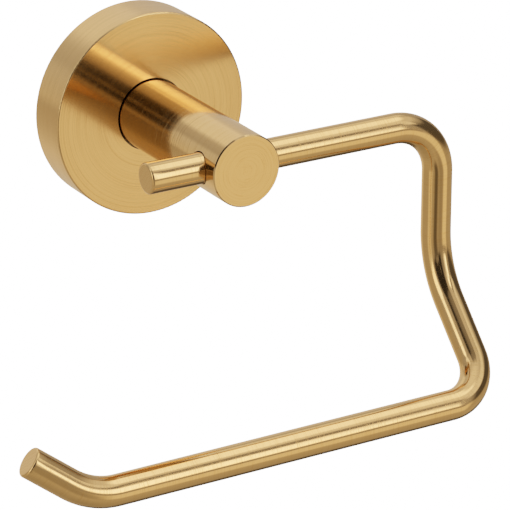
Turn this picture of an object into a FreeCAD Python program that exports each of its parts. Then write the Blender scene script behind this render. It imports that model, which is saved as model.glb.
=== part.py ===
import FreeCAD, Part
import math
import os

# Wall-mounted toilet roll holder: a round rose on the wall, a round post that stands out from it, and
# a bent rod that turns in a cross bore near the post's front.
# Millimetres. The origin is the centre of the face that lies on the wall. +Y goes into the wall, +Z is
# up, and the hoop closes on the +X side. A "reach" is a distance out from the wall, towards -Y.

# Rose: the thin round cover on the wall
rose_diameter = 55.0
rose_depth = 12.2
rose_wall = 1.2
rose_edge_round = 0.4
rose_hole_gap = 0.3        # open ring between the rose and the post
rose_hole_chamfer = 0.1

# Post: one turned bar
post_diameter = 19.0
post_reach = 61.5
post_edge_chamfer = 0.3

# Arm: one bent round rod
rod_diameter = 8.0
rod_setback = 8.0          # rod axis behind the post's front face
stub_length = 14.8         # rod end that stands out of the post on the -X side
side_x = 62.2              # axis of the hoop's closed side
kink_drop = 40.8           # from the rod's axis down to the kink in the side
kink_angle = 43.5          # how far the lower part leans out from upright, degrees
slant_length = 38.1        # from the kink to the lower corner
bar_end_x = -54.5          # where the roll bar turns up into its tip
tip_angle = 39.0           # how far the tip turns up from the bar, degrees
tip_lean = 20.0            # how far the plane of that bend leans back to the wall, degrees
tip_length = 19.2
top_bend_radius = 14.0
kink_bend_radius = 26.0
lower_bend_radius = 11.7
tip_bend_radius = 20.0
rod_end_round = 0.6

# Fit of the arm in the post
bore_clearance = 0.05      # radial
bore_lip = 0.25
bore_edge_tolerance = 0.05 # for finding the bore's edges
groove_depth = 0.4
groove_play = 0.2          # on each side of the friction tip
friction_tip_diameter = 3.0
friction_tip_recess = 1.2
friction_tip_gap = 0.05    # tip to groove floor
arm_grub_diameter = 5.0
arm_grub_inset = 0.3       # screw's outer end below the post's surface
arm_grub_bore_gap = 0.15   # screw's inner end short of the cross bore

# Bracket on the wall and the hub that slips over it
cover_gap = 0.2            # rose's front wall to hub
cover_radial_gap = 0.3     # rose's rim to hub
hub_web = 3.0
hub_ring = 3.8
hub_slip_gap = 0.2         # hub to bracket, radial
hub_front_gap = 1.8        # hub's web to bracket's front face
hub_wall_gap = 0.6
post_seat_depth = 1.0
post_seat_gap = 0.05       # radial
bracket_groove_depth = 1.4
bracket_groove_floor = 1.0 # flat width, between flanks at 45 degrees
bracket_edge_chamfer = 0.3
slot_width = 4.4
slot_length = 6.0
slot_edge_wall = 3.1       # from a slot's outer end to the floor of the edge groove
screw_head_diameter = 8.4
screw_head_depth = 3.0
bracket_hole_gap = 0.75    # centre hole round the post bolt's head, radial

# Fasteners
thread_gap = 0.05          # threads are plain cylinders at their outer size, with this radial gap
thread_end_chamfer = 0.6
rose_grub_diameter = 4.0
rose_grub_inset = 0.5      # screw's outer end below the rose's rim
rose_grub_point_gap = 0.15
rose_grub_point = 0.4      # radius of its flat point
rose_grub_hole_gap = 0.3   # hole in the rose's rim round the screw, radial
grub_hole_edge = 1.0       # hub metal between that screw's hole and the wall side
post_bolt_diameter = 6.0
post_bolt_hole_gap = 0.3
post_bolt_head_diameter = 10.5
post_bolt_head_height = 3.3
post_bolt_crown_diameter = 6.3   # flat top of the button head
post_bolt_rim_height = 1.15      # straight edge of the head
post_bolt_length = 16.0    # under the head
post_bolt_socket = 4.0     # across flats
washer_diameter = 11.8
washer_thickness = 1.6
washer_split = 1.2
washer_hole_gap = 0.1      # radial
blind_hole_extra = 1.0     # how much deeper a blind hole is than what goes in it
locating_pin_diameter = 2.5
locating_pin_length = 5.0
locating_pin_wall = 0.85   # post metal outside the pin
locating_pin_inset = 0.2
arm_grub_socket = 2.5
rose_grub_socket = 2.0
grub_socket_depth = 2.0
head_socket_depth = 2.0
cut_margin = 1.0           # how far a cutting shape runs past the face that it cuts

# Sizes worked out from those above
rose_radius = rose_diameter / 2
post_radius = post_diameter / 2
rod_radius = rod_diameter / 2
bore_radius = rod_radius + bore_clearance
rod_y = -(post_reach - rod_setback)
hub_front = rose_depth - rose_wall - cover_gap
hub_back = hub_front - hub_web
hub_outer_radius = rose_radius - rose_wall - cover_radial_gap
hub_inner_radius = hub_outer_radius - hub_ring
bracket_radius = hub_inner_radius - hub_slip_gap
bracket_depth = hub_back - hub_front_gap
bracket_groove_radius = bracket_radius - bracket_groove_depth
bracket_hole_radius = post_bolt_head_diameter / 2 + bracket_hole_gap
slot_x = bracket_groove_radius - slot_edge_wall - slot_length / 2
rose_grub_radius = rose_grub_diameter / 2
rose_grub_reach = hub_wall_gap + grub_hole_edge + rose_grub_radius
post_foot = hub_front - post_seat_depth
bolt_seat = hub_back - washer_thickness
bolt_end = bolt_seat + post_bolt_length
locating_pin_start = hub_back + locating_pin_inset
locating_pin_end = locating_pin_start + locating_pin_length
locating_pin_z = post_radius - locating_pin_wall - locating_pin_diameter / 2
groove_radius = rod_radius - groove_depth

into_wall = FreeCAD.Vector(0, 1, 0)
out_of_wall = FreeCAD.Vector(0, -1, 0)
upward = FreeCAD.Vector(0, 0, 1)
downward = FreeCAD.Vector(0, 0, -1)
sideways = FreeCAD.Vector(1, 0, 0)


# A cylinder on an axis square to the wall, from one reach to another
def wall_cylinder(radius, reach_from, reach_to, x=0.0, z=0.0):
    base = FreeCAD.Vector(x, -reach_from, z)
    return Part.makeCylinder(radius, reach_to - reach_from, base, out_of_wall)


# A turned solid about the post's axis: the profile is a closed list of (radius, reach)
def turned(profile):
    points = [FreeCAD.Vector(radius, -reach, 0) for radius, reach in profile]
    outline = Part.makePolygon(points + points[:1])
    return Part.Face(outline).revolve(FreeCAD.Vector(0, 0, 0), into_wall, 360)


# A hexagonal prism for a key socket, from base along direction
def hexagon(across_flats, depth, base, direction):
    turn = FreeCAD.Rotation(upward, direction)
    corner_radius = across_flats / 2 / math.cos(math.pi / 6)
    corners = []
    for number in range(6):
        angle = math.radians(60 * number)
        corner = FreeCAD.Vector(corner_radius * math.cos(angle), corner_radius * math.sin(angle), 0)
        corners.append(base + turn.multVec(corner))
    outline = Part.makePolygon(corners + corners[:1])
    return Part.Face(outline).extrude(direction * depth)


# The circular edges of a shape with this radius, centred at this point
def circles(shape, radius, centre):
    found = []
    for edge in shape.Edges:
        if not isinstance(edge.Curve, Part.Circle):
            continue
        same_size = abs(edge.Curve.Radius - radius) < 0.001
        if same_size and edge.Curve.Center.distanceToPoint(centre) < 0.001:
            found.append(edge)
    return found


# A slot along X, square to the wall, centred at x
def wall_slot(width, length, reach_from, reach_to, x):
    end_offset = (length - width) / 2
    left = wall_cylinder(width / 2, reach_from, reach_to, x - end_offset)
    right = wall_cylinder(width / 2, reach_from, reach_to, x + end_offset)
    corner = FreeCAD.Vector(x - end_offset, -reach_to, -width / 2)
    middle = Part.makeBox(2 * end_offset, reach_to - reach_from, width, corner)
    return left.fuse([middle, right]).removeSplitter()


# Cast disc screwed to the wall: counterbored slots, room for the bolt's head, a V groove in its edge
def make_wall_bracket():
    profile = [
        (bracket_hole_radius, 0),
        (bracket_radius, 0),
        (bracket_radius, bracket_depth - bracket_edge_chamfer),
        (bracket_radius - bracket_edge_chamfer, bracket_depth),
        (bracket_hole_radius, bracket_depth),
    ]
    cut_radius = bracket_radius + cut_margin
    cut_half = bracket_groove_floor / 2 + bracket_groove_depth + cut_margin
    groove = [
        (cut_radius, rose_grub_reach - cut_half),
        (bracket_groove_radius, rose_grub_reach - bracket_groove_floor / 2),
        (bracket_groove_radius, rose_grub_reach + bracket_groove_floor / 2),
        (cut_radius, rose_grub_reach + cut_half),
    ]
    bracket = turned(profile).cut(turned(groove))
    head_extra = screw_head_diameter - slot_width
    for x in (-slot_x, slot_x):
        through = wall_slot(slot_width, slot_length, -cut_margin, bracket_depth + cut_margin, x)
        head_from = bracket_depth - screw_head_depth
        head_room = wall_slot(screw_head_diameter, slot_length + head_extra,
                              head_from, bracket_depth + cut_margin, x)
        bracket = bracket.cut([through, head_room])
    return bracket


# Ring and web that slip over the bracket. The post stands in the seat on the web's front.
def make_mounting_hub():
    profile = [
        (0, hub_back),
        (hub_inner_radius, hub_back),
        (hub_inner_radius, hub_wall_gap),
        (hub_outer_radius, hub_wall_gap),
        (hub_outer_radius, hub_front),
        (0, hub_front),
    ]
    seat = wall_cylinder(post_radius + post_seat_gap, post_foot, hub_front + cut_margin)
    bolt_hole = wall_cylinder(post_bolt_diameter / 2 + post_bolt_hole_gap,
                              hub_back - cut_margin, hub_front + cut_margin)
    pin_hole = wall_cylinder(locating_pin_diameter / 2 + thread_gap,
                             hub_back - cut_margin, hub_front + cut_margin, 0, locating_pin_z)
    screw_hole = Part.makeCylinder(rose_grub_radius + thread_gap, rose_radius,
                                   FreeCAD.Vector(0, -rose_grub_reach, 0), downward)
    return turned(profile).cut([seat, bolt_hole, pin_hole, screw_hole])


# Thin cup with a hole for the post and, below, one for the screw that holds it
def make_rose():
    inner_radius = rose_radius - rose_wall
    hole_radius = post_radius + rose_hole_gap
    profile = [
        (inner_radius, 0),
        (rose_radius, 0),
        (rose_radius, rose_depth),
        (hole_radius, rose_depth),
        (hole_radius, rose_depth - rose_wall),
        (inner_radius, rose_depth - rose_wall),
    ]
    rose = turned(profile)
    front_centre = FreeCAD.Vector(0, -rose_depth, 0)
    rose = rose.makeFillet(rose_edge_round, circles(rose, rose_radius, front_centre))
    rose = rose.makeChamfer(rose_hole_chamfer, circles(rose, hole_radius, front_centre))
    screw_hole = Part.makeCylinder(rose_grub_radius + rose_grub_hole_gap, rose_radius,
                                   FreeCAD.Vector(0, -rose_grub_reach, 0), downward)
    return rose.cut(screw_hole)


# The post: tapped for its bolt and drilled for its pin at the foot, with the rod's cross bore near the
# front, a broken edge at each mouth of it, and below it the tapped hole for the screw that holds the rod
def make_post():
    profile = [
        (0, post_foot),
        (post_radius, post_foot),
        (post_radius, post_reach - post_edge_chamfer),
        (post_radius - post_edge_chamfer, post_reach),
        (0, post_reach),
    ]
    bore_start = FreeCAD.Vector(-post_diameter, rod_y, 0)
    bore = Part.makeCylinder(bore_radius, 2 * post_diameter, bore_start, sideways)
    post = turned(profile).cut(bore)
    mouth_edges = []
    for edge in post.Edges:
        on_bore = abs(edge.BoundBox.YMin - (rod_y - bore_radius)) < bore_edge_tolerance
        reaches_out = abs(edge.CenterOfMass.x) > post_radius / 2
        if on_bore and reaches_out:
            mouth_edges.append(edge)
    post = post.makeChamfer(bore_lip, mouth_edges)
    bolt_hole = wall_cylinder(post_bolt_diameter / 2 + thread_gap,
                              post_foot - cut_margin, bolt_end + blind_hole_extra)
    pin_hole = wall_cylinder(locating_pin_diameter / 2 + thread_gap,
                             post_foot - cut_margin, locating_pin_end + blind_hole_extra,
                             0, locating_pin_z)
    screw_hole = Part.makeCylinder(arm_grub_diameter / 2 + thread_gap, post_diameter,
                                   FreeCAD.Vector(0, rod_y, 0), downward)
    return post.cut([bolt_hole, pin_hole, screw_hole])


# Button-head bolt through the hub into the post
def make_post_bolt():
    head_back = bolt_seat - post_bolt_head_height
    head_radius = post_bolt_head_diameter / 2
    crown_radius = post_bolt_crown_diameter / 2
    crown_edge = bolt_seat - post_bolt_rim_height
    shank_radius = post_bolt_diameter / 2
    profile = [
        (0, head_back),
        (crown_radius, head_back),
        (head_radius, crown_edge),
        (head_radius, bolt_seat),
        (shank_radius, bolt_seat),
        (shank_radius, bolt_end - thread_end_chamfer),
        (shank_radius - thread_end_chamfer, bolt_end),
        (0, bolt_end),
    ]
    socket_base = FreeCAD.Vector(0, -head_back, 0)
    return turned(profile).cut(hexagon(post_bolt_socket, head_socket_depth, socket_base, out_of_wall))


# Split spring washer under the bolt's head
def make_post_spring_washer():
    hole_radius = post_bolt_diameter / 2 + washer_hole_gap
    washer = wall_cylinder(washer_diameter / 2, bolt_seat, hub_back)
    hole = wall_cylinder(hole_radius, bolt_seat - cut_margin, hub_back + cut_margin)
    corner = FreeCAD.Vector(-washer_split / 2, -hub_back - cut_margin, -washer_diameter)
    split = Part.makeBox(washer_split, washer_thickness + 2 * cut_margin, washer_diameter, corner)
    return washer.cut([hole, split])


# Pin that stops the post turning on the hub
def make_post_locating_pin():
    return wall_cylinder(locating_pin_diameter / 2, locating_pin_start, locating_pin_end,
                         0, locating_pin_z)


# Screw up through the rose's rim and the hub: its cone bears in the bracket's groove
def make_rose_grub_screw():
    cone_height = rose_grub_radius - rose_grub_point
    inner_end = bracket_groove_radius + rose_grub_point_gap
    outer_end = rose_radius - rose_grub_inset
    body_top = FreeCAD.Vector(0, -rose_grub_reach, -inner_end - cone_height)
    body = Part.makeCylinder(rose_grub_radius, outer_end - inner_end - cone_height,
                             body_top, downward)
    cone = Part.makeCone(rose_grub_radius, rose_grub_point, cone_height, body_top, upward)
    socket_base = FreeCAD.Vector(0, -rose_grub_reach, -outer_end)
    socket = hexagon(rose_grub_socket, grub_socket_depth, socket_base, upward)
    return body.fuse(cone).removeSplitter().cut(socket)


# Corners of the arm's centre line: stub, top corner, kink, lower corner, bar's end, tip
def arm_corners():
    lean = math.radians(kink_angle)
    rise = math.radians(tip_angle)
    tip_turn = math.radians(tip_lean)
    tip_up = FreeCAD.Vector(0, math.sin(tip_turn), math.cos(tip_turn))
    up_slope = FreeCAD.Vector(0, math.sin(lean), math.cos(lean))
    stub_end = FreeCAD.Vector(-post_radius - stub_length, rod_y, 0)
    top_corner = FreeCAD.Vector(side_x, rod_y, 0)
    kink = FreeCAD.Vector(side_x, rod_y, -kink_drop)
    lower_corner = kink - up_slope * slant_length
    bar_end = FreeCAD.Vector(bar_end_x, lower_corner.y, lower_corner.z)
    tip = bar_end - sideways * (tip_length * math.cos(rise)) + tip_up * (tip_length * math.sin(rise))
    return [stub_end, top_corner, kink, lower_corner, bar_end, tip]


# A wire of straight runs joined by tangent arcs, one radius for each inner corner
def rounded_path(corners, radii):
    edges = []
    run_start = corners[0]
    for number, radius in enumerate(radii, 1):
        corner = corners[number]
        way_in = (corner - corners[number - 1]).normalize()
        way_out = (corners[number + 1] - corner).normalize()
        half_turn = way_in.getAngle(way_out) / 2
        tangent = radius * math.tan(half_turn)
        arc_start = corner - way_in * tangent
        arc_end = corner + way_out * tangent
        inward = (way_out - way_in).normalize()
        arc_middle = corner + inward * (radius / math.cos(half_turn) - radius)
        edges.append(Part.makeLine(run_start, arc_start))
        edges.append(Part.Arc(arc_start, arc_middle, arc_end).toShape())
        run_start = arc_end
    edges.append(Part.makeLine(run_start, corners[-1]))
    return Part.Wire(edges)


# The bent rod, with rounded ends and the turned groove that the friction tip rides in
def make_arm():
    corners = arm_corners()
    radii = [top_bend_radius, kink_bend_radius, lower_bend_radius, tip_bend_radius]
    path = rounded_path(corners, radii)
    section = Part.Wire(Part.makeCircle(rod_radius, corners[0], sideways))
    arm = path.makePipeShell([section], True, False)
    for end in (corners[0], corners[-1]):
        arm = arm.makeFillet(rod_end_round, circles(arm, rod_radius, end))
    half_width = friction_tip_diameter / 2 + groove_play
    groove_start = FreeCAD.Vector(-half_width, rod_y, 0)
    band = Part.makeCylinder(rod_radius + cut_margin, 2 * half_width, groove_start, sideways)
    core = Part.makeCylinder(groove_radius, 2 * half_width, groove_start, sideways)
    return arm.cut(band.cut(core))


# Screw in the post's underside, below the cross bore, with a recess for the friction tip
def make_arm_grub_screw():
    inner_end = bore_radius + arm_grub_bore_gap
    outer_end = post_radius - arm_grub_inset
    top = FreeCAD.Vector(0, rod_y, -inner_end)
    screw = Part.makeCylinder(arm_grub_diameter / 2, outer_end - inner_end, top, downward)
    recess = Part.makeCylinder(friction_tip_diameter / 2 + thread_gap, friction_tip_recess,
                               top, downward)
    socket_base = FreeCAD.Vector(0, rod_y, -outer_end)
    socket = hexagon(arm_grub_socket, grub_socket_depth, socket_base, upward)
    return screw.cut([recess, socket])


# Nylon dog between that screw and the rod: it keeps the arm from sliding out and gives it friction
def make_arm_friction_tip():
    top = FreeCAD.Vector(0, rod_y, -groove_radius - friction_tip_gap)
    bottom = bore_radius + arm_grub_bore_gap + friction_tip_recess
    return Part.makeCylinder(friction_tip_diameter / 2, bottom + top.z, top, downward)


pieces = {
    "wall_bracket": make_wall_bracket,
    "mounting_hub": make_mounting_hub,
    "rose": make_rose,
    "rose_grub_screw": make_rose_grub_screw,
    "post_bolt": make_post_bolt,
    "post_spring_washer": make_post_spring_washer,
    "post_locating_pin": make_post_locating_pin,
    "post": make_post,
    "arm": make_arm,
    "arm_grub_screw": make_arm_grub_screw,
    "arm_friction_tip": make_arm_friction_tip,
}

os.makedirs("parts", exist_ok=True)
for name, make_piece in pieces.items():
    piece = make_piece()
    piece.exportStep("parts/" + name + ".step")
    print(name, "solids", len(piece.Solids), "valid", piece.isValid(), "volume", round(piece.Volume, 1))
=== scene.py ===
import math

import bmesh
import bpy
from mathutils import Matrix, Vector


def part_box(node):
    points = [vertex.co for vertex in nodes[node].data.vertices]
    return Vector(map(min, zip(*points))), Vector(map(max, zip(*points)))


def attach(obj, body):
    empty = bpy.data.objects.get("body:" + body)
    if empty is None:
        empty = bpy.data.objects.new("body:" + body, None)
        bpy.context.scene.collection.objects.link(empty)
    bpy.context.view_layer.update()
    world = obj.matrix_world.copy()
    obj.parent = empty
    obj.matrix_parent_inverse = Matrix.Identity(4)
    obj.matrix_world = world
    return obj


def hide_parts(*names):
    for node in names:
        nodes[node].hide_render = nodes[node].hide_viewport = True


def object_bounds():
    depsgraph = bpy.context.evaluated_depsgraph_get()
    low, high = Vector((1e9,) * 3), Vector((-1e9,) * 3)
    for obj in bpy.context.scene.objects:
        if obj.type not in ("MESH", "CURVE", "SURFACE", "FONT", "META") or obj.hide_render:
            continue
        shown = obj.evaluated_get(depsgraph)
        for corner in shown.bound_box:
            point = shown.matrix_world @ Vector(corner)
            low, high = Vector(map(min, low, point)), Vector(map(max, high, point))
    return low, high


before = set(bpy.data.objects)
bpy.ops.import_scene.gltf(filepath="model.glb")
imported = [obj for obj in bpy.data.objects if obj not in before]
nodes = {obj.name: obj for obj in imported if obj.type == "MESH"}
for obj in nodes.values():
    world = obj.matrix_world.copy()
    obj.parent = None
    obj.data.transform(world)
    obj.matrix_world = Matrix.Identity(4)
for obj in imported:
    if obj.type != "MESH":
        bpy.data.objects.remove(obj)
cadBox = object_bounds()
mm = 0.001

# Camera: a long lens, so the far rose and the near bar keep almost the same scale
cameraSet = {
    "azimuth": -30.41, "elevation": 22.04,   # degrees
    "distance": 0.8338,
    "aimRight": 0.03315, "aimUp": -0.0407,   # the aim point, from the middle of the wall face
    "lens": 223.0, "sensor": 36.0,
    "nearest": 0.01, "farthest": 20,
}

# Pale seamless studio: the dome and floor are what the camera sees, the boxes are what the metal sees
studio = {
    "paper": "FFFFFF", "paperGlow": 3.75,
    "domeRadius": 4.0, "domeSides": 48, "domeRings": 24, "floorDrop": 0.35, "floorSize": 7.5,
    # glow of the plain walls at each elevation, degrees
    "walls": {-90: 0.4, -66: 0.5, -42: 0.64, -20: 0.56, 5: 0.55, 35: 0.62, 60: 1.0, 78: 1.5, 90: 1.5},
    "brightestWall": 1.5,
    "warmTint": "FFEBCC", "coolTint": "F1E9E1",   # light from the floor and from above it
    "warmBelow": -12.0, "coolAbove": 14.0,
}

# Light boxes and dark flags round the object: middle azimuth, middle elevation, width, height
# (degrees), the glow that replaces what is behind, and how soft the edge is (degrees)
boxes = [
    # pale wall behind the rose, its lit upper part and a paler patch beside it
    {"azimuth": 172, "elevation": -6, "width": 60, "height": 66, "glow": 1.1, "soft": 22},
    {"azimuth": 174, "elevation": 33, "width": 44, "height": 22, "glow": 1.5, "soft": 12},
    {"azimuth": -148, "elevation": 6, "width": 12, "height": 24, "glow": 0.95, "soft": 8},
    # dim floor behind, grey front wall and the dark room behind the camera
    {"azimuth": 130, "elevation": -50, "width": 64, "height": 34, "glow": 0.1, "soft": 16},
    {"azimuth": -2, "elevation": -4, "width": 26, "height": 60, "glow": 0.42, "soft": 16},
    {"azimuth": -37, "elevation": -18, "width": 26, "height": 46, "glow": 0.14, "soft": 16},
    {"azimuth": -36, "elevation": 32, "width": 58, "height": 60, "glow": 0.03, "soft": 9},
    {"azimuth": -30, "elevation": 58, "width": 60, "height": 16, "glow": 0.32, "soft": 9},
    # left side: a soft top, a fill and the bright strip box
    {"azimuth": -100, "elevation": 38, "width": 20, "height": 26, "glow": 2.0, "soft": 8},
    {"azimuth": -82, "elevation": -14, "width": 28, "height": 30, "glow": 1.05, "soft": 10},
    {"azimuth": -85, "elevation": 12, "width": 22, "height": 28, "glow": 3.1, "soft": 5},
    # right side: a dark flag and what stands over it, up to the overhead strip
    {"azimuth": 82, "elevation": 11, "width": 66, "height": 34, "glow": 0.1, "soft": 10},
    {"azimuth": 80, "elevation": 44, "width": 66, "height": 14, "glow": 1.2, "soft": 10},
    {"azimuth": 134, "elevation": 46, "width": 22, "height": 16, "glow": 1.4, "soft": 8},
    {"azimuth": 86, "elevation": 61, "width": 72, "height": 15, "glow": 2.8, "soft": 10},
    {"azimuth": 52, "elevation": 40, "width": 18, "height": 28, "glow": 1.55, "soft": 6},
    # low fill, then the key light: its dim left side, its upper and lower parts, the gap under it and
    # a narrow flag on its right
    {"azimuth": 34, "elevation": -19, "width": 32, "height": 28, "glow": 1.28, "soft": 12},
    {"azimuth": 12, "elevation": 36, "width": 18, "height": 16, "glow": 0.9, "soft": 8},
    {"azimuth": 20, "elevation": 20, "width": 16, "height": 30, "glow": 1.5, "soft": 8},
    {"azimuth": 22, "elevation": 39, "width": 14, "height": 12, "glow": 4.0, "soft": 6},
    {"azimuth": 27, "elevation": 18, "width": 12, "height": 28, "glow": 3.8, "soft": 5},
    {"azimuth": 22, "elevation": -4, "width": 38, "height": 5, "glow": 0.4, "soft": 4},
    {"azimuth": 37, "elevation": 40, "width": 9, "height": 18, "glow": 0.28, "soft": 5},
    # inside the dark room: a dim shelf, and the slit that draws a thin line on the post and rose
    {"azimuth": -34, "elevation": 7, "width": 20, "height": 7, "glow": 0.34, "soft": 4},
    {"azimuth": -26, "elevation": 22, "width": 1.3, "height": 8, "glow": 0.9, "soft": 1},
]


# sRGB hex to the linear colour that shaders use
def hexColor(text):
    channels = []
    for start in (0, 2, 4):
        value = int(text[start:start + 2], 16) / 255
        channels.append(value / 12.92 if value <= 0.04045 else ((value + 0.055) / 1.055) ** 2.4)
    return (*channels, 1.0)


# Adds a node with its settings and links: a socket given as an input is linked, all else is its value
def addNode(tree, kind, inputs=None, **settings):
    node = tree.nodes.new(kind)
    for name, value in settings.items():
        setattr(node, name, value)
    for name, value in (inputs or {}).items():
        if isinstance(value, bpy.types.NodeSocket):
            tree.links.new(value, node.inputs[name])
        else:
            node.inputs[name].default_value = value
    return node


def makeCamera(spec):
    azimuth = math.radians(spec["azimuth"])
    elevation = math.radians(spec["elevation"])
    back = Vector((math.sin(azimuth) * math.cos(elevation),
                   -math.cos(azimuth) * math.cos(elevation), math.sin(elevation)))
    right = Vector((math.cos(azimuth), math.sin(azimuth), 0))
    up = back.cross(right)
    data = bpy.data.cameras.new("camera")
    data.lens = spec["lens"]
    data.sensor_width = spec["sensor"]
    data.clip_start, data.clip_end = spec["nearest"], spec["farthest"]
    camera = bpy.data.objects.new("camera", data)
    camera.matrix_world = Matrix((right, up, back)).transposed().to_4x4()
    camera.location = right * spec["aimRight"] + up * spec["aimUp"] + back * spec["distance"]
    bpy.context.scene.collection.objects.link(camera)
    bpy.context.scene.camera = camera


# Mask of one box on the sky, from azimuth and elevation sockets in degrees
def boxMask(tree, azimuth, elevation, box):
    masks = []
    for socket, middle, size in ((azimuth, box["azimuth"], box["width"]),
                                 (elevation, box["elevation"], box["height"])):
        offset = addNode(tree, "ShaderNodeMath", {0: socket, 1: middle}, operation="SUBTRACT").outputs[0]
        if socket is azimuth:
            offset = addNode(tree, "ShaderNodeMath", {0: offset, 1: 180.0, 2: -180.0},
                             operation="WRAP").outputs[0]
        away = addNode(tree, "ShaderNodeMath", {0: offset}, operation="ABSOLUTE").outputs[0]
        masks.append(addNode(tree, "ShaderNodeMapRange", {
            "Value": away, "From Min": size / 2 + box["soft"] / 2, "From Max": size / 2 - box["soft"] / 2,
        }, interpolation_type="SMOOTHSTEP").outputs["Result"])
    return addNode(tree, "ShaderNodeMath", {0: masks[0], 1: masks[1]}, operation="MULTIPLY").outputs[0]


def makeStudio(spec):
    world = bpy.data.worlds.new("softStudio")
    bpy.context.scene.world = world
    world.use_nodes = True
    tree = world.node_tree
    tree.nodes.clear()
    place = addNode(tree, "ShaderNodeTexCoord")
    split = addNode(tree, "ShaderNodeSeparateXYZ", {0: place.outputs["Generated"]})
    x, y, z = split.outputs
    flip = addNode(tree, "ShaderNodeMath", {0: y, 1: -1.0}, operation="MULTIPLY").outputs[0]
    turn = addNode(tree, "ShaderNodeMath", {0: x, 1: flip}, operation="ARCTAN2").outputs[0]
    azimuth = addNode(tree, "ShaderNodeMath", {0: turn}, operation="DEGREES").outputs[0]
    rise = addNode(tree, "ShaderNodeMath", {0: z}, operation="ARCSINE").outputs[0]
    elevation = addNode(tree, "ShaderNodeMath", {0: rise}, operation="DEGREES").outputs[0]
    height = addNode(tree, "ShaderNodeMapRange", {
        "Value": elevation, "From Min": -90.0, "From Max": 90.0}).outputs[0]
    ramp = addNode(tree, "ShaderNodeValToRGB", {"Fac": height})
    stops = ramp.color_ramp.elements
    for degrees in list(spec["walls"])[1:-1]:
        stops.new((degrees + 90) / 180)
    for stop, level in zip(stops, spec["walls"].values()):
        stop.color = (*[level / spec["brightestWall"]] * 3, 1)
    glow = addNode(tree, "ShaderNodeMath", {0: ramp.outputs["Color"], 1: spec["brightestWall"]},
                   operation="MULTIPLY").outputs[0]
    for box in boxes:
        mask = boxMask(tree, azimuth, elevation, box)
        glow = addNode(tree, "ShaderNodeMix", {"Factor": mask, "A": glow, "B": box["glow"]}).outputs[0]
    tint = addNode(tree, "ShaderNodeMapRange", {
        "Value": elevation, "From Min": spec["warmBelow"], "From Max": spec["coolAbove"]}).outputs[0]
    color = addNode(tree, "ShaderNodeMix", {
        "Factor": tint, 6: hexColor(spec["warmTint"]), 7: hexColor(spec["coolTint"]),
    }, data_type="RGBA").outputs[2]
    sky = addNode(tree, "ShaderNodeBackground", {"Color": color, "Strength": glow})
    addNode(tree, "ShaderNodeOutputWorld", {"Surface": sky.outputs[0]})
    makePaper(spec)


# Bright seamless paper that only the camera sees: its reflections come from the boxes instead
def makePaper(spec):
    paper = bpy.data.materials.new("seamlessPaper")
    paper.use_nodes = True
    tree = paper.node_tree
    tree.nodes.clear()
    shine = addNode(tree, "ShaderNodeEmission", {
        "Color": hexColor(spec["paper"]), "Strength": spec["paperGlow"]})
    clear = addNode(tree, "ShaderNodeBsdfTransparent")
    side = addNode(tree, "ShaderNodeNewGeometry")
    both = addNode(tree, "ShaderNodeMixShader", {
        0: side.outputs["Backfacing"], 1: shine.outputs[0], 2: clear.outputs[0]})
    addNode(tree, "ShaderNodeOutputMaterial", {"Surface": both.outputs[0]})
    middle = (cadBox[0] + cadBox[1]) / 2
    bpy.ops.mesh.primitive_uv_sphere_add(segments=spec["domeSides"], ring_count=spec["domeRings"],
                                         radius=spec["domeRadius"], location=middle)
    dome = bpy.context.object
    dome.name = "paperDome"
    dome.data.flip_normals()
    bpy.ops.mesh.primitive_plane_add(size=spec["floorSize"],
                                     location=(middle.x, middle.y, cadBox[0].z - spec["floorDrop"]))
    floor = bpy.context.object
    floor.name = "paperFloor"
    for piece in (dome, floor):
        piece.data.materials.append(paper)
        piece.visible_glossy = False
        piece.visible_diffuse = False
        piece.visible_transmission = False
        piece.visible_shadow = False


# Arm: one bent 8 mm rod. Its middle line comes from the arm's box, its bends from these sizes
armSet = {
    "rod": 8 * mm, "endRound": 0.6 * mm,
    "kinkDrop": 40.8 * mm, "barEnd": -54.5 * mm,
    "stub": 14.8 * mm, "tipAngle": 39, "tipLean": 20, "tipLength": 19.2 * mm,
    "bends": [14 * mm, 26 * mm, 11.7 * mm, 20 * mm],   # middle-line radius of each bend, from the post on
    # the turned groove, and how far from its middle the plain rings stop, in half widths
    "grooveHalf": 1.7 * mm, "grooveDepth": 0.4 * mm, "grooveSlope": 0.05 * mm, "grooveClear": 1.5,
    "around": 72, "bendStep": 2.5, "runStep": 4 * mm, "roundSteps": 8,
    "endInset": 0.96,   # ring on each flat end that keeps its edge crisp
}


# Corners of the rod's middle line, from the stub's end round to the tip
def armCorners(spec):
    low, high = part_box("arm")
    radius = spec["rod"] / 2
    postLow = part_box("post")[0]
    topY, topZ = high.y - radius, high.z - radius
    barY, barZ = low.y + radius, low.z + radius
    sideX = high.x - radius
    lean = math.radians(spec["tipLean"])
    tipX = math.cos(math.radians(spec["tipAngle"])) * spec["tipLength"]
    tipRise = math.sin(math.radians(spec["tipAngle"])) * spec["tipLength"]
    return [
        Vector((postLow.x - spec["stub"], topY, topZ)),
        Vector((sideX, topY, topZ)),
        Vector((sideX, topY, topZ - spec["kinkDrop"])),
        Vector((sideX, barY, barZ)),
        Vector((spec["barEnd"], barY, barZ)),
        Vector((spec["barEnd"] - tipX,
                barY + tipRise * math.sin(lean), barZ + tipRise * math.cos(lean))),
    ]


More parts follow.
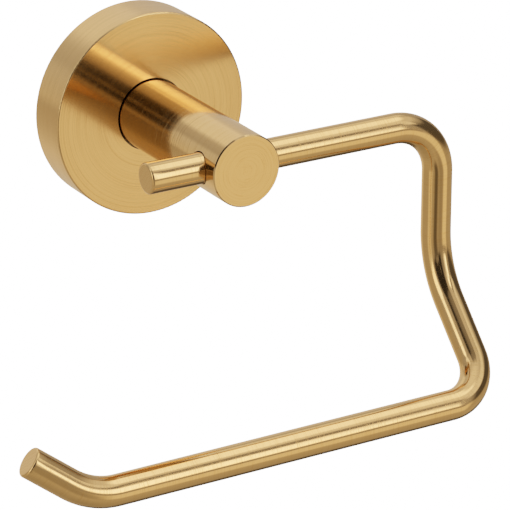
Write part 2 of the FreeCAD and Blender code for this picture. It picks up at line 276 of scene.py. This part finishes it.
# Points along the rod, with an arc at each bend: each is a place, a direction and the length so far
def armStations(corners, spec):
    runs = []
    cursor = corners[0]
    for corner, after, bend in zip(corners[1:-1], corners[2:], spec["bends"]):
        inward = (corner - cursor).normalized()
        outward = (after - corner).normalized()
        turn = inward.angle(outward)
        setback = bend * math.tan(turn / 2)
        arcStart = corner - inward * setback
        runs.append((cursor, arcStart, None, 0))
        centre = arcStart + (outward - inward * inward.dot(outward)).normalized() * bend
        runs.append((arcStart, corner + outward * setback, centre, turn))
        cursor = corner + outward * setback
    runs.append((cursor, corners[-1], None, 0))
    stations = []
    length = 0
    for start, finish, centre, turn in runs:
        if centre is None:
            span = (finish - start).length
            steps = max(1, math.ceil(span / spec["runStep"]))
            heading = (finish - start).normalized()
            stations += [(start.lerp(finish, step / steps), heading, length + span * step / steps)
                         for step in range(steps)]
        else:
            arm = start - centre
            axis = arm.cross(finish - centre).normalized()
            span = arm.length * turn
            steps = math.ceil(math.degrees(turn) / spec["bendStep"])
            for step in range(steps):
                spin = Matrix.Rotation(turn * step / steps, 3, axis)
                spoke = spin @ arm
                heading = axis.cross(spoke).normalized()
                stations.append((centre + spoke, heading, length + span * step / steps))
        length += span
    stations.append((corners[-1], (corners[-1] - cursor).normalized(), length))
    return stations


# Rings to sweep: place, direction, length along the rod and radius, with rounded ends and the groove
def armRings(spec):
    corners = armCorners(spec)
    stations = armStations(corners, spec)
    radius, roundOff = spec["rod"] / 2, spec["endRound"]
    total = stations[-1][2]
    heading = stations[0][1]
    grooveAt = -corners[0].x
    rings = [(place, way, at, radius) for place, way, at in stations
             if roundOff < at < total - roundOff
             and abs(at - grooveAt) > spec["grooveHalf"] * spec["grooveClear"]]
    for side in (-1, 1):
        for slope, depth in ((0, 0), (spec["grooveSlope"], spec["grooveDepth"])):
            at = grooveAt + side * (spec["grooveHalf"] - slope)
            rings.append((corners[0] + heading * at, heading, at, radius - depth))
    tip, tipHeading = stations[-1][:2]
    for step in range(spec["roundSteps"] + 1):
        angle = math.pi / 2 * step / spec["roundSteps"]
        inset, shrink = roundOff * (1 - math.sin(angle)), roundOff * (1 - math.cos(angle))
        rings.append((corners[0] + heading * inset, heading, inset, radius - shrink))
        rings.append((tip - tipHeading * inset, tipHeading, total - inset, radius - shrink))
    rings.sort(key=lambda ring: (ring[2], ring[3] if ring[2] < total / 2 else -ring[3]))
    return rings


# Sweeps the rings into one skin, with U along the rod and V around it in the UV map, both in metres
def makeArm(spec, rodMaterial, endMaterial):
    rings = armRings(spec)
    around = spec["around"]
    body = bmesh.new()
    uv = body.loops.layers.uv.new("alongRod")
    side = Vector((0, 0, 1))
    loops = []
    for place, way, at, radius in rings:
        side = (side - way * side.dot(way)).normalized()
        other = way.cross(side)
        loops.append([body.verts.new(place + (side * math.cos(turn) + other * math.sin(turn)) * radius)
                      for turn in (2 * math.pi * step / around for step in range(around))])
    girth = math.pi * spec["rod"]
    for first, second, ringA, ringB in zip(loops, loops[1:], rings, rings[1:]):
        for step in range(around):
            after = (step + 1) % around
            face = body.faces.new((first[step], first[after], second[after], second[step]))
            face.smooth = True
            corners = ((ringA[2], step), (ringA[2], step + 1), (ringB[2], step + 1), (ringB[2], step))
            for loop, (at, turn) in zip(face.loops, corners):
                loop[uv].uv = (at, girth * turn / around)
    for loop, ring, outward in ((loops[0], rings[0], False), (loops[-1], rings[-1], True)):
        place, way = ring[:2]
        inner = [body.verts.new(place.lerp(vert.co, spec["endInset"])) for vert in loop]
        hub = body.verts.new(place)
        for step in range(around):
            after = (step + 1) % around
            patches = [(loop[step], loop[after], inner[after], inner[step]), (inner[step], inner[after], hub)]
            for corners in patches:
                face = body.faces.new(corners if outward else corners[::-1])
                face.smooth = True
                face.material_index = 1
                for corner in face.loops:
                    offset = corner.vert.co - place
                    corner[uv].uv = (offset.dot(side), offset.dot(way.cross(side)))
    bmesh.ops.recalc_face_normals(body, faces=body.faces)
    mesh = bpy.data.meshes.new("rodArm")
    body.to_mesh(mesh)
    body.free()
    piece = bpy.data.objects.new("rodArm", mesh)
    mesh.materials.append(rodMaterial)
    mesh.materials.append(endMaterial)
    bpy.context.scene.collection.objects.link(piece)
    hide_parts("arm")
    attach(piece, "arm")


# Satin gold: brass coated by vapour deposition, then brushed. The eye gets a warm yellow metal with
# fine lines, and light that smears across them. Real lines are finer than this spacing, drawn coarser
# so that they show
satinGold = {
    # the edge colour is a painted highlight along the edges
    # the gap colour is painted shade in the narrow gaps between pieces
    "color": "F2C585", "deep": "E3B069", "edgeHighlightColor": "F7DBAA", "gapShadeColor": "3A2814",
    "lineSpacing": 0.13 * mm, "strokeTurns": 0.6, "edge": 0.35 * mm,
    "maskFrom": 0.5, "maskTo": 0.78,   # where on the noise a line starts, and where it is full
}
# Turned brass of the hub: plain yellow metal with clear tool rings
turnedBrass = {
    # the edge colour is a painted highlight along the edges
    # the gap colour is painted shade in the narrow gaps between pieces
    "color": "D8BC7E", "deep": "B8975A", "edgeHighlightColor": "EBD5A0", "gapShadeColor": "463722",
    "lineSpacing": 0.3 * mm, "strokeTurns": 0.25, "edge": 0.3 * mm,
    "maskFrom": 0.35, "maskTo": 0.7,
}
# Stainless steel: the eye gets a cool grey with a dull grain, and brighter edges painted in as a highlight
stainless = {
    # the edge colour is a painted highlight along the edges
    # the gap colour is painted shade in the narrow gaps between pieces
    "color": "C9C8C5", "deep": "A9A7A2", "edgeHighlightColor": "DEDDDA", "gapShadeColor": "45433F",
    "lineSpacing": 0.22 * mm, "strokeTurns": 0.4, "edge": 0.2 * mm,
    "maskFrom": 0.35, "maskTo": 0.7,
}

# How each gold piece is brushed: which way its lines run, the roughness of clean and of worn metal,
# how far the light smears and the depth of the lines
brushed = {
    "rose": {"lines": "round", "sharp": 0.135, "worn": 0.28, "anisotropic": 0.98, "bump": 0.0003 * mm},
    "post": {"lines": "round", "sharp": 0.065, "worn": 0.32, "anisotropic": 0.75, "bump": 0.0001 * mm},
    "rod": {"lines": "alongRod", "sharp": 0.09, "worn": 0.3, "anisotropic": 0.6, "bump": 0.0001 * mm},
    "rodEnd": {"lines": "across", "sharp": 0.22, "worn": 0.42, "anisotropic": 0.3, "bump": 0.001 * mm},
}
# The inner pieces: rings left by the lathe, or a plain tumbled grain
turned = {"lines": "round", "sharp": 0.2, "worn": 0.36, "anisotropic": 0.6, "bump": 0.003 * mm}
grained = {"lines": "grain", "sharp": 0.24, "worn": 0.42, "anisotropic": 0.0, "bump": 0.002 * mm}

# What all the metals share: how broken the lines are, and how they come and go in wider bands
lineNoise = {
    "detail": 3.0, "breakUp": 0.7, "bandScale": 0.13, "bandDetail": 2.0,
    "bandFrom": 0.3, "bandTo": 0.7, "weakest": 0.85, "strongest": 1.15,
    "endSweep": 90.0,        # how fast a line wanders over a flat end, radians to the metre
    "smearTurn": 0.25,       # quarter turn, so that light smears across round lines
}
# Lighter colour on sharp edges: a painted highlight, found from the bevelled normal
edgeHighlight = {"samples": 4, "flat": 0.995, "sharp": 0.9, "most": 0.8}
# Darker colour in narrow gaps and at contacts: painted shade, from ambient occlusion
gapShade = {"reach": 0.5 * mm, "samples": 8, "closed": 0.45, "open": 0.72, "most": 0.9}


# Coordinates for brush lines: Z runs across the lines and X, Y along them, so that noise is drawn out
# into lines
def lineCoordinates(tree, lines, spec):
    place = addNode(tree, "ShaderNodeTexCoord")
    if lines == "round":
        split = addNode(tree, "ShaderNodeSeparateXYZ", {0: place.outputs["Object"]})
        flat = addNode(tree, "ShaderNodeCombineXYZ", {0: split.outputs["X"], 1: split.outputs["Z"]})
        radius = addNode(tree, "ShaderNodeVectorMath", {0: flat.outputs[0]},
                         operation="LENGTH").outputs["Value"]
        spoke = addNode(tree, "ShaderNodeVectorMath", {0: flat.outputs[0]},
                        operation="NORMALIZE").outputs[0]
        across = addNode(tree, "ShaderNodeMath", {0: radius, 1: split.outputs["Y"]},
                         operation="SUBTRACT").outputs[0]
    elif lines == "grain":
        return addNode(tree, "ShaderNodeVectorMath", {
            0: place.outputs["Object"], "Scale": 1 / spec["lineSpacing"]}, operation="SCALE").outputs[0]
    else:
        uv = addNode(tree, "ShaderNodeUVMap", uv_map="alongRod")
        split = addNode(tree, "ShaderNodeSeparateXYZ", {0: uv.outputs[0]})
        across = split.outputs["X"]
        sweep = 1 / (armSet["rod"] / 2) if lines == "alongRod" else lineNoise["endSweep"]
        turn = addNode(tree, "ShaderNodeMath", {0: split.outputs["Y"], 1: sweep},
                       operation="MULTIPLY").outputs[0]
        sine = addNode(tree, "ShaderNodeMath", {0: turn}, operation="SINE").outputs[0]
        cosine = addNode(tree, "ShaderNodeMath", {0: turn}, operation="COSINE").outputs[0]
        spoke = addNode(tree, "ShaderNodeCombineXYZ", {0: cosine, 1: sine}).outputs[0]
    count = addNode(tree, "ShaderNodeMath", {0: across, 1: 1 / spec["lineSpacing"]},
                    operation="MULTIPLY").outputs[0]
    stretch = addNode(tree, "ShaderNodeVectorMath", {0: spoke, "Scale": spec["strokeTurns"]},
                      operation="SCALE").outputs[0]
    lift = addNode(tree, "ShaderNodeCombineXYZ", {2: count}).outputs[0]
    return addNode(tree, "ShaderNodeVectorMath", {0: stretch, 1: lift}, operation="ADD").outputs[0]


# Mask of the edges, where the colour is painted lighter: a painted highlight along the edge rounds
def paintedHighlightMask(tree, width):
    softened = addNode(tree, "ShaderNodeBevel", {"Radius": width}, samples=edgeHighlight["samples"]).outputs[0]
    geometry = addNode(tree, "ShaderNodeNewGeometry")
    flatness = addNode(tree, "ShaderNodeVectorMath", {0: softened, 1: geometry.outputs["Normal"]},
                       operation="DOT_PRODUCT").outputs["Value"]
    return addNode(tree, "ShaderNodeMapRange", {
        "Value": flatness, "From Min": edgeHighlight["flat"], "From Max": edgeHighlight["sharp"],
        "To Min": 0.0, "To Max": edgeHighlight["most"]}).outputs[0]


# Mask of the narrow gaps between pieces, where the colour is painted darker: painted shade from ambient
# occlusion
def paintedShadeMask(tree):
    openness = addNode(tree, "ShaderNodeAmbientOcclusion", {"Distance": gapShade["reach"]},
                       samples=gapShade["samples"]).outputs["AO"]
    return addNode(tree, "ShaderNodeMapRange", {
        "Value": openness, "From Min": gapShade["closed"], "From Max": gapShade["open"],
        "To Min": gapShade["most"], "To Max": 0.0}).outputs[0]


# A brushed or turned metal: fine lines switch the roughness, colour and height, and the light smears
# across them
def makeMetal(name, metal, brush):
    material = bpy.data.materials.new(name)
    material.use_nodes = True
    tree = material.node_tree
    tree.nodes.clear()
    lines = lineCoordinates(tree, brush["lines"], metal)
    fine = addNode(tree, "ShaderNodeTexNoise", {
        "Vector": lines, "Scale": 1.0, "Detail": lineNoise["detail"],
        "Roughness": lineNoise["breakUp"]}).outputs[0]
    band = addNode(tree, "ShaderNodeTexNoise", {
        "Vector": lines, "Scale": lineNoise["bandScale"], "Detail": lineNoise["bandDetail"]}).outputs[0]
    worn = addNode(tree, "ShaderNodeMapRange", {
        "Value": fine, "From Min": metal["maskFrom"], "From Max": metal["maskTo"]}).outputs[0]
    uneven = addNode(tree, "ShaderNodeMapRange", {
        "Value": band, "From Min": lineNoise["bandFrom"], "From Max": lineNoise["bandTo"],
        "To Min": lineNoise["weakest"], "To Max": lineNoise["strongest"]}).outputs[0]
    mask = addNode(tree, "ShaderNodeMath", {0: worn, 1: uneven},
                   operation="MULTIPLY", use_clamp=True).outputs[0]
    roughness = addNode(tree, "ShaderNodeMapRange", {
        "Value": mask, "To Min": brush["sharp"], "To Max": brush["worn"]}).outputs[0]
    color = hexColor(metal["color"])
    # The edge mix paints a highlight into the colour along the edges
    # The gap mix paints shade into the colour in narrow gaps and at contacts
    for factor, over in ((mask, "deep"), (paintedHighlightMask(tree, metal["edge"]), "edgeHighlightColor"),
                         (paintedShadeMask(tree), "gapShadeColor")):
        color = addNode(tree, "ShaderNodeMix", {"Factor": factor, 6: color, 7: hexColor(metal[over])},
                        data_type="RGBA").outputs[2]
    bump = addNode(tree, "ShaderNodeBump", {
        "Height": fine, "Distance": brush["bump"], "Strength": 1.0}).outputs[0]
    inputs = {"Base Color": color, "Metallic": 1.0, "Roughness": roughness, "Normal": bump}
    if brush["anisotropic"] > 0:
        if brush["lines"] == "round":
            tangent = addNode(tree, "ShaderNodeTangent", direction_type="RADIAL", axis="Y")
            inputs["Anisotropic Rotation"] = lineNoise["smearTurn"]
        else:
            tangent = addNode(tree, "ShaderNodeTangent", direction_type="UV_MAP", uv_map="alongRod")
        inputs.update({"Anisotropic": brush["anisotropic"], "Tangent": tangent.outputs[0]})
    shader = addNode(tree, "ShaderNodeBsdfPrincipled", inputs)
    addNode(tree, "ShaderNodeOutputMaterial", {"Surface": shader.outputs[0]})
    return material


# Natural nylon: the eye gets a milky off-white that lets a little light in, with a faint moulded grain
nylon = {
    "color": "ECE8DC", "deep": "DDD7C6", "rough": 0.42, "rougher": 0.58,
    "grain": 0.25 * mm, "grainDetail": 3.0, "bump": 0.004 * mm,
    "lightIn": 0.25, "reach": 0.4 * mm,
}


def makeNylon(name, spec):
    material = bpy.data.materials.new(name)
    material.use_nodes = True
    tree = material.node_tree
    tree.nodes.clear()
    place = addNode(tree, "ShaderNodeTexCoord")
    grain = addNode(tree, "ShaderNodeTexNoise", {
        "Vector": place.outputs["Object"], "Scale": 1 / spec["grain"],
        "Detail": spec["grainDetail"]}).outputs[0]
    color = addNode(tree, "ShaderNodeMix", {
        "Factor": grain, 6: hexColor(spec["color"]), 7: hexColor(spec["deep"]),
    }, data_type="RGBA").outputs[2]
    roughness = addNode(tree, "ShaderNodeMapRange", {
        "Value": grain, "To Min": spec["rough"], "To Max": spec["rougher"]}).outputs[0]
    bump = addNode(tree, "ShaderNodeBump", {
        "Height": grain, "Distance": spec["bump"], "Strength": 1.0}).outputs[0]
    shader = addNode(tree, "ShaderNodeBsdfPrincipled", {
        "Base Color": color, "Roughness": roughness, "Normal": bump,
        "Subsurface Weight": spec["lightIn"], "Subsurface Scale": spec["reach"]})
    addNode(tree, "ShaderNodeOutputMaterial", {"Surface": shader.outputs[0]})
    return material


# Gives a carried-over CAD node its material in all of its slots
def useMaterial(nodeName, material):
    for slot in nodes[nodeName].material_slots:
        slot.material = material


makeCamera(cameraSet)
makeStudio(studio)
print("camera and studio ready")

gold = {part: makeMetal("satinGold" + part[0].upper() + part[1:], satinGold, brush)
        for part, brush in brushed.items()}
useMaterial("rose", gold["rose"])
useMaterial("post", gold["post"])
makeArm(armSet, gold["rod"], gold["rodEnd"])
print("gold pieces ready")

useMaterial("mounting_hub", makeMetal("turnedBrass", turnedBrass, turned))
turnedSteel = makeMetal("turnedStainless", stainless, turned)
for part in ("wall_bracket", "post_bolt", "post_spring_washer"):
    useMaterial(part, turnedSteel)
grainedSteel = makeMetal("grainedStainless", stainless, grained)
for part in ("rose_grub_screw", "arm_grub_screw", "post_locating_pin"):
    useMaterial(part, grainedSteel)
useMaterial("arm_friction_tip", makeNylon("naturalNylon", nylon))
print("inner pieces ready")


# A product camera's soft shoulder: bright metal eases towards white instead of clipping
viewCurve = {"white": 3.75, "shoulder": 1.2, "stops": [0.05, 0.12, 0.25, 0.5, 0.8, 1.2, 1.8, 2.6]}


def setView(spec):
    view = bpy.context.scene.view_settings
    view.view_transform = "Standard"
    view.use_curve_mapping = True
    mapping = view.curve_mapping
    mapping.white_level = (spec["white"],) * 3
    curve = mapping.curves[3]
    top = spec["white"] / (spec["white"] + spec["shoulder"])
    for stop in spec["stops"]:
        curve.points.new(stop / spec["white"], stop / (stop + spec["shoulder"]) / top)
    mapping.update()


setView(viewCurve)
